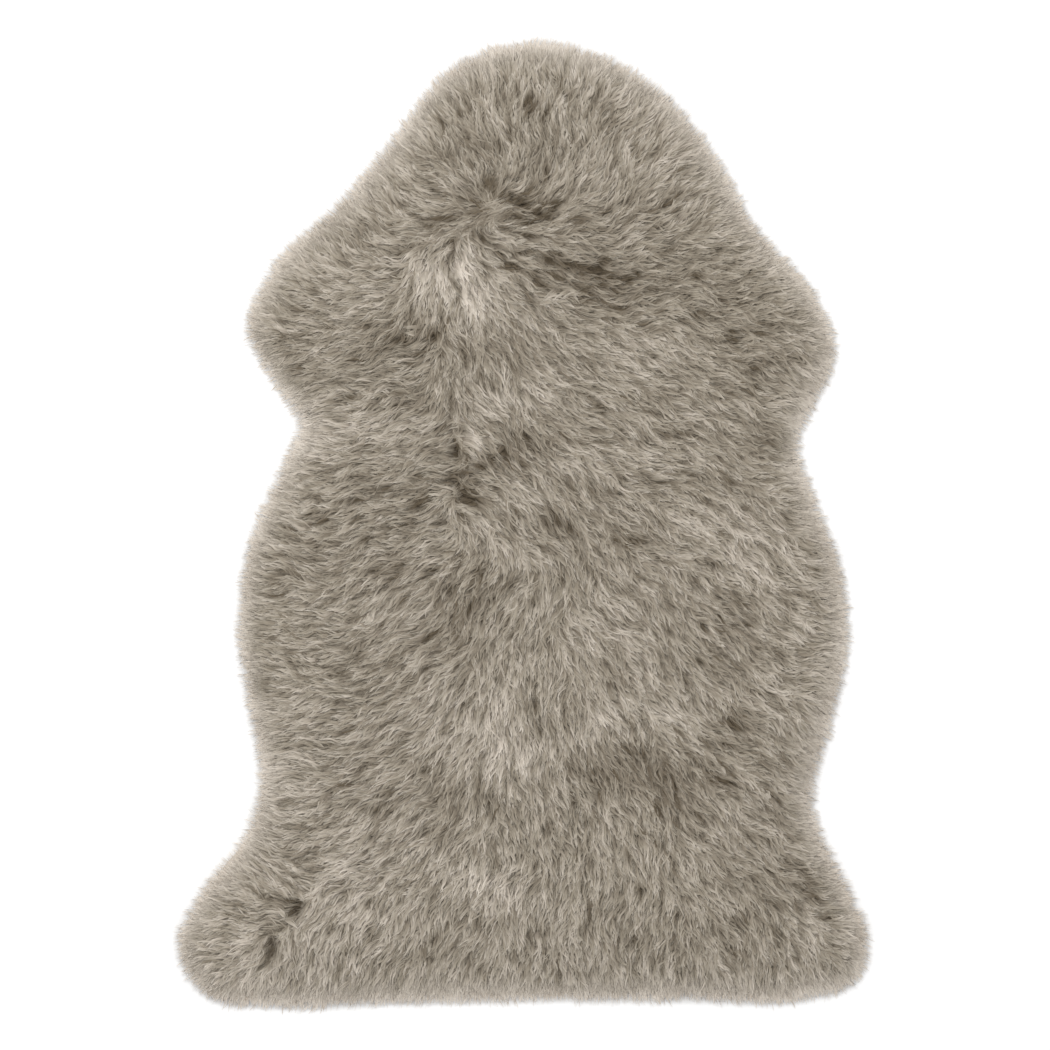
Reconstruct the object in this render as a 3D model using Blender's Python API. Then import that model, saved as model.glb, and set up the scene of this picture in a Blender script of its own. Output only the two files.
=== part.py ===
"""A sheepskin rug lying flat: one tanned hide with its wool on, trimmed round the skin's natural outline.

The pelt is one solid.  Its underside is the flat flesh side of the hide, whose cut edge is a thin step.  The
wool is a lumpy slab on the hide, rounded over at the rim, where it ends in tapered locks, of which the lower
row lies level on the floor.  Metres, +Z up.  The neck points to +Y and the tail to -Y, and the origin is on
the floor under the middle of the finished outline.
"""
import math

import bmesh
import bpy
import numpy as np
from mathutils.geometry import delaunay_2d_cdt

# Hide
HIDE_THICKNESS = 0.0025
HIDE_INSET = 0.036          # from the outline in to the hide's cut edge

# Wool
PILE_HEIGHT = 0.046         # top of the wool over the floor, away from the rim
WALL_INSET = 0.022          # from the outline in to the wool's wall, where the rim locks start
WALL_HEIGHT = 0.024
WALL_UNEVENNESS = 0.0035    # the wall's top edge strays this much up or down
SHOULDER_WIDTH = 0.070      # the wool rounds over from its full height to its wall in this width
SURFACE_PITCH = 0.0140      # spacing of the points that carry the lumps
SHOULDER_RINGS = (0.009, 0.021)     # distances in from the wall of two rows of points that follow the rim
RING_CLEARANCE = 0.010      # from the inner of those rows to the first point of the lattice

# Rim locks: tapered and three-sided, a lower row that lies on the floor and an upper row staggered over it.
# Their roots are the triangles of the wool's wall: the lower row's stand on the floor with the point up, and
# the upper row's hang from the wall's top edge with the point down.
LOCKS_IN_ROW = 150
LOWER_REACH = 0.028         # of the longest lock of the row, from the wall to its tip
UPPER_REACH = 0.018
REACH_SPREAD = 0.40         # the shortest lock is this share shorter
TAILWARD_LEAN = 0.30        # share of the tailward direction added to straight outwards
LOCK_SWAY = 0.27            # largest sideways shift of a lock's tip, as a share of its root's width
UPPER_DROP = 0.018          # largest fall from the wall's top edge to the tips of the upper row
DROP_SPREAD = 0.45          # the upper lock that falls least falls this share less
DROP_CURVE = 1.5            # the upper row bends down as this power of the way along it
LOCK_SECTIONS = (
    # share of the reach, of the root's width, of the root's depth
    (0.42, 0.80, 0.60),
    (0.76, 0.46, 0.26),
)

# Tufts: long bumps over the whole surface, each lying the way the wool lies
TUFT_PITCH = 0.033
TUFT_LENGTH = 0.026         # from the middle to where the bump has faded
TUFT_WIDTH = 0.0115
TUFT_HEIGHT = 0.0145        # of the tallest
TUFT_SPREAD = 0.45          # the lowest tuft is this share lower
TUFT_JITTER = 0.42          # share of the pitch by which a tuft strays from its place
SWELL_HEIGHT = 0.0030       # slow rise and fall of the skin under the wool
SWELL_LENGTH = 0.21

WOOL_COLOUR = (0.330, 0.285, 0.228, 1.0)
WOOL_ROUGHNESS = 0.92

# The outline, where the rim locks end on average, clockwise from the crown, seen from above
OUTLINE = (
    # place                        across   along
    ("crown",                      0.017,  0.475),
    ("crown, right",               0.076,  0.463),
    ("neck, upper right",          0.135,  0.429),
    ("neck, right",                0.188,  0.367),
    ("neck, lower right",          0.234,  0.289),
    ("shoulder, upper right",      0.287,  0.228),
    ("shoulder, right",            0.309,  0.166),
    ("shoulder, lower right",      0.288,  0.115),
    ("waist, right",               0.273,  0.083),
    ("flank, upper right",         0.287,  0.029),
    ("flank, middle right",        0.313, -0.037),
    ("flank, right",               0.321, -0.119),
    ("flank, lower right",         0.305, -0.197),
    ("loin notch, right",          0.287, -0.276),
    ("haunch, upper right",        0.321, -0.356),
    ("haunch, right",              0.341, -0.405),
    ("haunch corner, right",       0.329, -0.450),
    ("tail edge, far right",       0.283, -0.467),
    ("tail edge, right",           0.165, -0.469),
    ("tail edge, middle",          0.017, -0.469),
    ("tail edge, left",           -0.130, -0.472),
    ("tail edge, far left",       -0.248, -0.475),
    ("haunch corner, left",       -0.312, -0.465),
    ("haunch, left",              -0.341, -0.418),
    ("haunch, upper left",        -0.317, -0.359),
    ("loin, left",                -0.273, -0.302),
    ("loin notch, left",          -0.260, -0.246),
    ("flank, lower left",         -0.271, -0.178),
    ("flank, left",               -0.281, -0.102),
    ("flank, middle left",        -0.271, -0.021),
    ("flank, upper left",         -0.238,  0.058),
    ("waist, left",               -0.222,  0.097),
    ("shoulder, lower left",      -0.246,  0.139),
    ("shoulder, left",            -0.273,  0.192),
    ("shoulder, upper left",      -0.246,  0.254),
    ("neck, lower left",          -0.174,  0.325),
    ("neck, left",                -0.123,  0.387),
    ("crown, left",               -0.071,  0.450),
)

# Which way the wool lies: the heading of its tips in degrees, 0 to the right and 90 towards the neck
LAY = (
    # place                        across   along   heading
    ("crown, left",               -0.080,  0.400,   108),
    ("crown, middle",              0.017,  0.410,    90),
    ("crown, right",               0.100,  0.390,    62),
    ("neck, left",                -0.150,  0.310,   135),
    ("neck, right",                0.180,  0.300,     8),
    ("shoulder, left",            -0.230,  0.210,   175),
    ("shoulder, right",            0.250,  0.190,   -15),
    ("waist, left",               -0.180,  0.080,   182),
    ("waist, middle",              0.060,  0.140,   -42),
    ("waist, right",               0.230,  0.060,   -32),
    ("flank, left",               -0.230, -0.110,   186),
    ("flank, middle",              0.010, -0.150,   -92),
    ("flank, right",               0.250, -0.110,   -34),
    ("loin, left",                -0.170, -0.270,   215),
    ("loin, right",                0.190, -0.270,   -55),
    ("haunch, left",              -0.280, -0.400,   215),
    ("tail, middle",               0.010, -0.400,   -90),
    ("haunch, right",              0.290, -0.400,   -48),
)

# Partings where the wool opens, as troughs
PARTINGS = (
    # place                         across   along   heading  length   width   depth
    ("cross parting, right",        0.075,  0.262,      -8,   0.085,  0.028,  0.010),
    ("cross parting, left",        -0.075,  0.325,     172,   0.070,  0.028,  0.006),
    ("back parting, upper",        -0.055,  0.120,     -88,   0.100,  0.028,  0.010),
    ("back parting, lower",        -0.062,  0.035,     -80,   0.060,  0.028,  0.008),
    ("loin hollow, right",          0.095, -0.235,     -12,   0.070,  0.040,  0.006),
    ("haunch crevice, left",       -0.246, -0.402,     -82,   0.055,  0.026,  0.012),
    ("haunch crevice, upper left", -0.215, -0.372,     140,   0.045,  0.026,  0.008),
    ("haunch crevice, right",       0.232, -0.368,     -55,   0.060,  0.028,  0.008),
)

# Raised locks and swirls, as round-topped humps
HUMPS = (
    # place                         across   along   heading  length   width   height
    ("whorl on the shoulder",      -0.050,  0.240,     -75,   0.060,  0.045,  0.006),
    ("light tuft by the parting",   0.035,  0.222,     -20,   0.035,  0.026,  0.006),
    ("tuft below the parting",     -0.010, -0.025,     -50,   0.050,  0.030,  0.005),
    ("lock over the loin",         -0.030, -0.210,     -75,   0.055,  0.030,  0.004),
    ("haunch swirl, left",         -0.290, -0.385,     200,   0.060,  0.040,  0.005),
    ("haunch swirl, right",         0.295, -0.395,     -50,   0.060,  0.040,  0.004),
)

CURVE_STEPS = 40            # points worked out between two places of the outline
LAY_FALLOFF = 3             # a row of LAY counts as this power of its closeness
LAY_CORE = 1e-6             # keeps that power finite at the row's own place
FLOOR = 0.0
SAME_POINT = 1e-7           # points closer than this would be one
SHARP_ANGLE = math.radians(75.0)    # edges sharper than this, as on the locks, aren't shaded smooth
SEED = 7


def closed_curve(places):
    """A smooth closed curve through the places: cubic Hermite stretches over the chord lengths, with each
    place's tangent taken from the two places beside it."""
    before = np.roll(places, 1, axis=0)
    after = np.roll(places, -1, axis=0)
    chord = np.linalg.norm(after - places, axis=1)[:, None]
    chord_before = np.roll(chord, 1, axis=0)
    tangent = ((places - before) / chord_before * chord + (after - places) / chord * chord_before)
    tangent = tangent / (chord + chord_before)
    s = np.linspace(0.0, 1.0, CURVE_STEPS, endpoint=False)[None, :, None]
    start, end = places[:, None, :], after[:, None, :]
    pull_start = (tangent * chord)[:, None, :]
    pull_end = (np.roll(tangent, -1, axis=0) * chord)[:, None, :]
    curve = ((2 * s**3 - 3 * s**2 + 1) * start + (s**3 - 2 * s**2 + s) * pull_start
             + (3 * s**2 - 2 * s**3) * end + (s**3 - s**2) * pull_end)
    return curve.reshape(-1, 2)


def spaced(curve, count):
    """The closed curve as count points at equal steps along it."""
    closed = np.vstack([curve, curve[:1]])
    run = np.concatenate([[0.0], np.cumsum(np.linalg.norm(np.diff(closed, axis=0), axis=1))])
    stations = np.linspace(0.0, run[-1], count, endpoint=False)
    return np.column_stack([np.interp(stations, run, closed[:, axis]) for axis in (0, 1)])


def outward(loop):
    """Unit normals of a clockwise loop, pointing out of it and smoothed over the neighbours."""
    along = np.roll(loop, -2, axis=0) - np.roll(loop, 2, axis=0)
    normal = np.column_stack([-along[:, 1], along[:, 0]])
    return normal / np.linalg.norm(normal, axis=1)[:, None]


def inset(loop, distance):
    """The loop with every point moved in by the distance."""
    return loop - outward(loop) * distance


def edge_distance(points, loop):
    """Distance of each point to the closed loop."""
    step = np.roll(loop, -1, axis=0) - loop
    offset = points[:, None, :] - loop[None, :, :]
    share = (offset * step).sum(axis=2) / (step * step).sum(axis=1)
    gap = offset - np.clip(share, 0.0, 1.0)[:, :, None] * step
    return np.linalg.norm(gap, axis=2).min(axis=1)


def inside(points, loop):
    """Whether each point is within the closed loop, by counting the crossings of a ray towards +X."""
    x, y = points[:, 0][:, None], points[:, 1][:, None]
    nxt = np.roll(loop, -1, axis=0)
    spans = (loop[:, 1] > y) != (nxt[:, 1] > y)
    rise = np.where(nxt[:, 1] == loop[:, 1], 1.0, nxt[:, 1] - loop[:, 1])
    crossing = loop[:, 0] + (y - loop[:, 1]) / rise * (nxt[:, 0] - loop[:, 0])
    return (spans & (x < crossing)).sum(axis=1) % 2 == 1


def lattice(low, high, pitch):
    """Points of a triangular lattice over the box from low to high."""
    row_step = pitch * math.sin(math.radians(60.0))
    rows = np.arange(low[1], high[1], row_step)
    columns = np.arange(low[0], high[0], pitch)
    x, y = np.meshgrid(columns, rows)
    x = x + (np.arange(len(rows)) % 2)[:, None] * pitch / 2.0
    return np.column_stack([x.ravel(), y.ravel()])


def lay_direction(points):
    """Unit heading of the wool at each point: the table's headings, weighted by closeness."""
    places = np.array([row[1:3] for row in LAY])
    headings = np.radians([row[3] for row in LAY])
    gap = np.linalg.norm(points[:, None, :] - places[None, :, :], axis=2)
    weight = 1.0 / (gap**LAY_FALLOFF + LAY_CORE)
    heading = np.column_stack([weight @ np.cos(headings), weight @ np.sin(headings)])
    return heading / np.linalg.norm(heading, axis=1)[:, None]


def bump(points, centre, heading, length, width):
    """A smooth bump of height 1 at its centre, long along the heading, that fades as a bell curve."""
    offset = points - centre
    along = offset @ heading
    across = offset @ np.array([-heading[1], heading[0]])
    return np.exp(-(along / length)**2 - (across / width)**2)


def tufts(points, low, high, random):
    """Height of the tufts: a bump for each jittered place of a lattice, the highest at each point counting."""
    places = lattice(low, high, TUFT_PITCH)
    places = places + random.uniform(-TUFT_JITTER, TUFT_JITTER, places.shape) * TUFT_PITCH
    headings = lay_direction(places)
    heights = TUFT_HEIGHT * (1.0 - TUFT_SPREAD * random.random(len(places)))
    total = np.zeros(len(points))
    for place, heading, height in zip(places, headings, heights):
        total = np.maximum(total, height * bump(points, place, heading, TUFT_LENGTH, TUFT_WIDTH))
    return total


def table_relief(points, table):
    """The table's rows as bumps laid on the points, each with its own size and height."""
    total = np.zeros(len(points))
    for _, across, along, heading, length, width, height in table:
        turn = math.radians(heading)
        direction = np.array([math.cos(turn), math.sin(turn)])
        total = total + height * bump(points, np.array([across, along]), direction, length / 2.0, width / 2.0)
    return total


def wool_height(points, wall, random):
    """Height of the wool: a quarter ellipse up from the wall, with tufts, humps and partings laid on it."""
    depth = np.clip(edge_distance(points, wall) / SHOULDER_WIDTH, 0.0, 1.0)
    rounding = np.sqrt(1.0 - (1.0 - depth)**2)
    low, high = wall.min(axis=0), wall.max(axis=0)
    swell = np.sin(points[:, 0] / SWELL_LENGTH * math.tau) * np.sin(points[:, 1] / SWELL_LENGTH * math.tau)
    relief = (tufts(points, low, high, random) - TUFT_HEIGHT / 2.0 + SWELL_HEIGHT * swell
              + table_relief(points, HUMPS) - table_relief(points, PARTINGS))
    return WALL_HEIGHT + (PILE_HEIGHT - WALL_HEIGHT + relief) * rounding


def top_triangles(points, ring_size):
    """Delaunay triangles of the points, bounded by the first ring_size of them."""
    edges = [(i, (i + 1) % ring_size) for i in range(ring_size)]
    inside_constraints = 1
    result = delaunay_2d_cdt([tuple(p) for p in points], edges, [], inside_constraints, SAME_POINT)
    origin = [sources[0] for sources in result[3]]
    return [tuple(origin[v] for v in face) for face in result[2]]


class Shell:
    """Points and faces of the pelt, gathered before they become one mesh."""

    def __init__(self):
        self.points = []
        self.faces = []

    def add(self, flat, height):
        """Adds a row of points at the given height or heights, and returns their numbers."""
        first = len(self.points)
        heights = np.broadcast_to(height, len(flat))
        self.points.extend(np.array([x, y, z]) for (x, y), z in zip(flat, heights))
        return list(range(first, len(self.points)))

    def band(self, lower, upper):
        """Joins two closed rows of the same length with quads."""
        count = len(lower)
        for i in range(count):
            j = (i + 1) % count
            self.faces.append((lower[i], lower[j], upper[j], upper[i]))


def add_lock(shell, root, reach, sway, drop):
    """One rim lock grown from a triangle of the wall.  root holds the numbers of the two ends of its broad
    edge and of its ridge.  Each section is the root made narrower and shallower about the middle of the broad
    edge, and moved outwards, sideways and down; the last one is the pointed tip."""
    corners = [shell.points[i] for i in root]
    middle = (corners[0] + corners[1]) / 2.0
    side = (corners[1] - corners[0]) * np.array([1.0, 1.0, 0.0])
    broad = np.linalg.norm(side)
    side = side / broad
    out = np.array([side[1], -side[0] - TAILWARD_LEAN, 0.0])
    out = out / np.linalg.norm(out)
    previous = root
    for share, width, depth in LOCK_SECTIONS:
        centre = middle + out * reach * share + side * broad * sway * share**2
        centre[2] -= drop * share**DROP_CURVE
        section = []
        for corner in corners:
            offset = corner - middle
            across = side * (offset @ side)
            shell.points.append(centre + across * width + (offset - across) * depth)
            section.append(len(shell.points) - 1)
        for i in range(3):
            j = (i + 1) % 3
            shell.faces.append((previous[i], previous[j], section[j], section[i]))
        previous = section
    tip = middle + out * reach + side * broad * sway
    tip[2] -= drop
    shell.points.append(tip)
    for i in range(3):
        shell.faces.append((previous[i], previous[(i + 1) % 3], len(shell.points) - 1))


def add_rim_locks(shell, wall_low, wall_high, random):
    """Both rows of locks.  A point of the wall's top edge stands between two points of its lower edge, so the
    wall is a row of triangles, point up and point down by turns, and each is the root of one lock."""
    lower = LOWER_REACH * (1.0 - REACH_SPREAD * random.random(LOCKS_IN_ROW))
    upper = UPPER_REACH * (1.0 - REACH_SPREAD * random.random(LOCKS_IN_ROW))
    sway = random.uniform(-LOCK_SWAY, LOCK_SWAY, (2, LOCKS_IN_ROW))
    drop = UPPER_DROP * (1.0 - DROP_SPREAD * random.random(LOCKS_IN_ROW))
    for i in range(LOCKS_IN_ROW):
        j = (i + 1) % LOCKS_IN_ROW
        add_lock(shell, [wall_low[j], wall_low[i], wall_high[i]], lower[i], sway[0, i], 0.0)
        add_lock(shell, [wall_high[j], wall_high[i], wall_low[j]], upper[i], sway[1, i], drop[i])


def wool_material():
    """Matt greige wool."""
    material = bpy.data.materials.new("wool")
    material.use_nodes = True
    shader = material.node_tree.nodes["Principled BSDF"]
    shader.inputs["Base Color"].default_value = WOOL_COLOUR
    shader.inputs["Roughness"].default_value = WOOL_ROUGHNESS
    shader.inputs["Metallic"].default_value = 0.0
    material.diffuse_color = WOOL_COLOUR
    return material


def pelt_shell():
    """The whole pelt: flat hide, step, underside of the wool, rim locks and lumpy top."""
    random = np.random.default_rng(SEED)
    stations = spaced(closed_curve(np.array([row[1:3] for row in OUTLINE])), 2 * LOCKS_IN_ROW)
    wall = inset(stations, WALL_INSET)
    hide = inset(stations, HIDE_INSET)[::2]

    shell = Shell()
    hide_low = shell.add(hide, FLOOR)
    hide_high = shell.add(hide, HIDE_THICKNESS)
    wall_low = shell.add(wall[::2], FLOOR)
    shell.faces.append(tuple(hide_low))
    shell.band(hide_low, hide_high)
    shell.band(hide_high, wall_low)

    rim = wall[1::2]
    field = lattice(rim.min(axis=0), rim.max(axis=0), SURFACE_PITCH)
    clear = SHOULDER_RINGS[-1] + RING_CLEARANCE
    field = field[inside(field, wall) & (edge_distance(field, wall) > clear)]
    rings = [inset(stations, WALL_INSET + step)[::2] for step in SHOULDER_RINGS]
    surface = np.vstack([rim] + rings + [field])
    heights = wool_height(surface, wall, random)
    heights[:LOCKS_IN_ROW] += random.uniform(-WALL_UNEVENNESS, WALL_UNEVENNESS, LOCKS_IN_ROW)
    top = shell.add(surface, heights)
    shell.faces.extend(tuple(top[i] for i in corners) for corners in top_triangles(surface, LOCKS_IN_ROW))
    add_rim_locks(shell, wall_low, top[:LOCKS_IN_ROW], random)
    return shell


def centred(points):
    """The points moved so that the middle of their box is over the origin and the lowest is on the floor."""
    points = np.array(points)
    low, high = points.min(axis=0), points.max(axis=0)
    middle = (low + high) / 2.0
    return points - np.array([middle[0], middle[1], low[2]])


def make_pelt():
    """The sheepskin as one closed mesh object."""
    shell = pelt_shell()
    mesh = bpy.data.meshes.new("sheepskin_pelt")
    mesh.from_pydata(centred(shell.points).tolist(), [], shell.faces)
    work = bmesh.new()
    work.from_mesh(mesh)
    bmesh.ops.recalc_face_normals(work, faces=work.faces)
    bmesh.ops.triangulate(work, faces=work.faces)
    work.to_mesh(mesh)
    work.free()
    mesh.shade_smooth()
    mesh.set_sharp_from_angle(angle=SHARP_ANGLE)
    pelt = bpy.data.objects.new("sheepskin_pelt", mesh)
    pelt.data.materials.append(wool_material())
    bpy.context.scene.collection.objects.link(pelt)
    return pelt


for leftover in list(bpy.data.objects):
    bpy.data.objects.remove(leftover)
make_pelt()
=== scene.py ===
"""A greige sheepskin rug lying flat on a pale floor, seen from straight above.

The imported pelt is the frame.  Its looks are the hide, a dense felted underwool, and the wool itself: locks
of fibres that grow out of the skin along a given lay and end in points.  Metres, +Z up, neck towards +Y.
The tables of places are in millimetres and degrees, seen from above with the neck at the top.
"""
import math

import bpy
import numpy as np
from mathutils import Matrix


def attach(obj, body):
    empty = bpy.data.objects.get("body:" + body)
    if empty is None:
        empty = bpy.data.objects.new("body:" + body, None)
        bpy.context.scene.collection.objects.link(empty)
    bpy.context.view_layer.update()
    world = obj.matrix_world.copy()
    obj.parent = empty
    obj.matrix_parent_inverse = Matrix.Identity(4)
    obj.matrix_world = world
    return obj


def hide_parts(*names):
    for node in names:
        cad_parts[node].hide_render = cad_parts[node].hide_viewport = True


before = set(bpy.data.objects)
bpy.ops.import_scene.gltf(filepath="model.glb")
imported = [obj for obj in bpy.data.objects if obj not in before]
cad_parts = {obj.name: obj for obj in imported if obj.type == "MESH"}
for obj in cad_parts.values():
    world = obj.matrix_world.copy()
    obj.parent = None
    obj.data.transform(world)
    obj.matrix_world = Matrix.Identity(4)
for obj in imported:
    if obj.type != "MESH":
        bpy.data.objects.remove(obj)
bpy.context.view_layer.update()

PELT = "sheepskin_pelt"
MM = 1000.0                 # millimetres in a metre

# Outline of the wool, clockwise from the crown: the same places as the pelt's own outline
OUTLINE = (
    # across, along, place
    (  17,  475, "crown"),
    (  76,  463, "crown, right"),
    ( 135,  429, "neck, upper right"),
    ( 188,  367, "neck, right"),
    ( 234,  289, "neck, lower right"),
    ( 287,  228, "shoulder, upper right"),
    ( 309,  166, "shoulder, right"),
    ( 288,  115, "shoulder, lower right"),
    ( 273,   83, "waist, right"),
    ( 287,   29, "flank, upper right"),
    ( 313,  -37, "flank, middle right"),
    ( 321, -119, "flank, right"),
    ( 305, -197, "flank, lower right"),
    ( 287, -276, "loin notch, right"),
    ( 321, -356, "haunch, upper right"),
    ( 341, -405, "haunch, right"),
    ( 329, -450, "haunch corner, right"),
    ( 283, -467, "tail edge, far right"),
    ( 165, -469, "tail edge, right"),
    (  17, -469, "tail edge, middle"),
    (-130, -472, "tail edge, left"),
    (-248, -475, "tail edge, far left"),
    (-312, -465, "haunch corner, left"),
    (-341, -418, "haunch, left"),
    (-317, -359, "haunch, upper left"),
    (-273, -302, "loin, left"),
    (-260, -246, "loin notch, left"),
    (-271, -178, "flank, lower left"),
    (-281, -102, "flank, left"),
    (-271,  -21, "flank, middle left"),
    (-238,   58, "flank, upper left"),
    (-222,   97, "waist, left"),
    (-246,  139, "shoulder, lower left"),
    (-273,  192, "shoulder, left"),
    (-246,  254, "shoulder, upper left"),
    (-174,  325, "neck, lower left"),
    (-123,  387, "neck, left"),
    ( -71,  450, "crown, left"),
)

# Which way the wool lies: the heading of its tips, 0 to the right and 90 towards the neck
LAY = (
    # zone, then across, along, heading
    ("crown",
     ( -80,  400,  112), ( -30,  400,   98), (  20,  400,   88), (  75,  400,   62), ( 125,  390,   45)),
    ("neck",
     (-120,  330,  128), ( -60,  352,  104), (  20,  355,   80), ( -69,  314,  174), (  37,  315,   30),
     (  90,  330,   52), ( 165,  325,   38)),
    ("base of the neck",
     (-185,  280,  142), (-100,  290,  165), ( -81,  320,  158), ( -63,  293,  188), ( -44,  297,  186),
     (  -5,  296,  -12), (  90,  290,   14), ( 190,  275,    2)),
    ("left shoulder",
     (-230,  220,  160), (-150,  235,  186), (-100,  235,  214)),
    ("whorl",
     ( -87,  232,  262), ( -55,  232,  -60), ( -25,  245,  -26)),
    ("top of the whorl",
     ( -84,  267,  209), ( -62,  251,  -42), ( -39,  261,  -36), ( -16,  267,  -32)),
    ("cross flow",
     (  20,  250,  -12), (  80,  240,   -8), ( 160,  230,   -4)),
    ("right shoulder and below the cross flow",
     ( 250,  190,  -22), (  60,  190,  -28), ( -35,  175,  -68), ( 170,  160,  -22)),
    ("armpit and waist",
     (-120,  150,  196), (-190,  100,  180), ( -92,   70,  184), ( -59,  146,  262), ( -52,   81,  -18),
     ( -38,  100,  -50), (  60,  110,  -32), ( 150,   80,  -24), ( 235,   60,  -30)),
    ("upper flanks",
     (-240,  -30,  166), (-100,  -10,  190), ( -50,   20,  -30), (  30,    0,  -42), ( 130,  -20,  -36),
     ( 250,  -50,  -38)),
    ("flanks and backbone",
     (-240, -120,  170), (-110, -110,  212), ( -20,  -90,  240), (  15, -150,  268), (  90, -110,  -48),
     ( 180, -110,  -38), ( 270, -130,  -28)),
    ("loin",
     (-220, -210,  186), (-130, -200,  212), ( -60, -190,  238), (  30, -230,  -88), (  85, -190,  -62),
     ( 170, -210,  -44), ( 250, -220,  -42)),
    ("upper haunches",
     (-210, -300,  196), (-130, -300,  226), (   0, -320,  266), ( 120, -310,  -76), ( 215, -310,  -52)),
    ("left haunch, arc and crevices",
     (-292, -369,  186), (-250, -352,  145), (-229, -355,  143), (-199, -374,  228), (-248, -391,  150),
     (-268, -383,  182), (-302, -413,  210), (-256, -430,  254), (-229, -413,  268)),
    ("tail",
     (-130, -400,  244), (  10, -410,  268), ( 130, -400,  -84), ( 220, -400,  -66)),
    ("right haunch",
     ( 285, -370,  -40), ( 300, -420,  -56)),
    ("over the neck parting",
     ( -24,  308,   28), (  -2,  316,   33)),
    ("whorl, by its curl and foot",
     ( -74,  240,  268), ( -63,  200,  -88), ( -30,  216,  -52)),
    ("right of the swirl",
     ( -35,   73,  -52)),
    ("left of the haunch crevice",
     (-256, -410,  232)),
    ("above the neck parting",
     ( -32,  334,   92), ( -50,  326,  142)),
    ("beside the back parting",
     ( -77,   84,  190), ( -76,   59,  182), ( -72,   33,  196)),
    ("foot of the swirl",
     ( -45,   49,   -6)),
    ("between the whorl and the neck parting",
     ( -37,  274,  -62), ( -25,  297,  196), (  -8,  304,   12)),
    ("back",
     (  -4,   77,  -36), (  22,   48,  -37), ( -14,  108,  -44)),
)
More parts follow.
